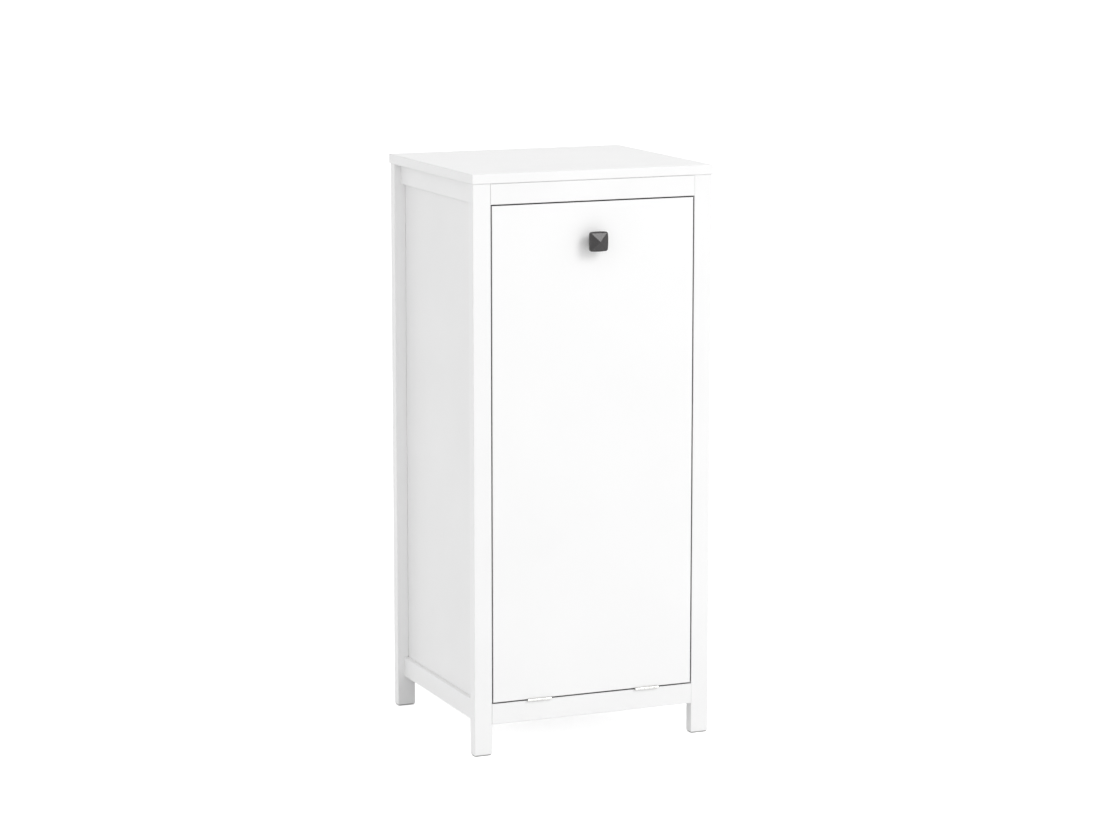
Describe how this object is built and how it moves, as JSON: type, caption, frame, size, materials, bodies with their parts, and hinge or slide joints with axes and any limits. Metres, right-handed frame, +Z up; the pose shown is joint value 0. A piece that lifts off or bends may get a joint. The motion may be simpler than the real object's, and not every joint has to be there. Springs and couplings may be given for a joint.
{
  "type": "laundry hamper cabinet",
  "caption": "Tall narrow framed cabinet on four legs with a tilt-out door that carries a cloth laundry bag in a wire frame.",
  "frame": {"origin": "on the floor, at the middle of the box round the whole cabinet, knob included", "axes": "+Z up, +X to the right of a person facing the door, +Y from the door to the back"},
  "size_m": [0.4, 0.3836, 0.9],
  "materials": {
    "painted_board": "white satin lacquer on board",
    "painted_panel": "white satin lacquer on thin board",
    "zinc_fitting": "zinc plated casting",
    "plated_steel": "bright zinc plated steel",
    "hinge_steel": "nickel plated steel",
    "black_knob": "matt black coated casting",
    "coated_wire": "white powder coated rod",
    "white_plastic": "moulded white plastic",
    "glide_plastic": "grey plastic glide",
    "magnet": "dark sintered magnet",
    "cap_rubber": "black rubber cap",
    "bag_cloth": "natural cotton and polyester cloth"
  },
  "bodies": {
    "cabinet": {"top_board": "painted_board", "front_left_leg": "painted_board", "front_right_leg": "painted_board", "rear_left_leg": "painted_board", "rear_right_leg": "painted_board", "front_top_rail": "painted_board", "front_bottom_rail": "painted_board", "rear_top_rail": "painted_board", "rear_bottom_rail": "painted_board", "left_top_rail": "painted_board", "left_bottom_rail": "painted_board", "right_top_rail": "painted_board", "right_bottom_rail": "painted_board", "left_side_panel": "painted_panel", "right_side_panel": "painted_panel", "back_panel": "painted_panel", "bottom_panel": "painted_panel", "foot_glides": "glide_plastic", "cam_bolts": "plated_steel", "cam_locks": "zinc_fitting", "left_hinge_rail_leaf": "hinge_steel", "right_hinge_rail_leaf": "hinge_steel", "left_hinge_pin": "hinge_steel", "right_hinge_pin": "hinge_steel", "hinge_rail_screws": "plated_steel", "magnetic_catch": "white_plastic", "catch_magnet": "magnet", "catch_screws": "plated_steel"},
    "door": {"door_panel": "painted_board", "knob": "black_knob", "knob_screw": "plated_steel", "left_hinge_door_leaf": "hinge_steel", "right_hinge_door_leaf": "hinge_steel", "hinge_door_screws": "plated_steel", "strike_plate": "plated_steel", "strike_screws": "plated_steel", "left_frame_socket": "white_plastic", "right_frame_socket": "white_plastic", "socket_screws": "plated_steel", "bag_frame": "coated_wire", "stop_caps": "cap_rubber", "laundry_bag": "bag_cloth"}
  },
  "joints": [
    {"name": "door_tilt", "type": "hinge", "parent": "cabinet", "child": "door", "pos_m": [0, -0.16855, 0.082], "axis": [1, 0, 0], "range_deg": [0, 21.1]}
  ]
}
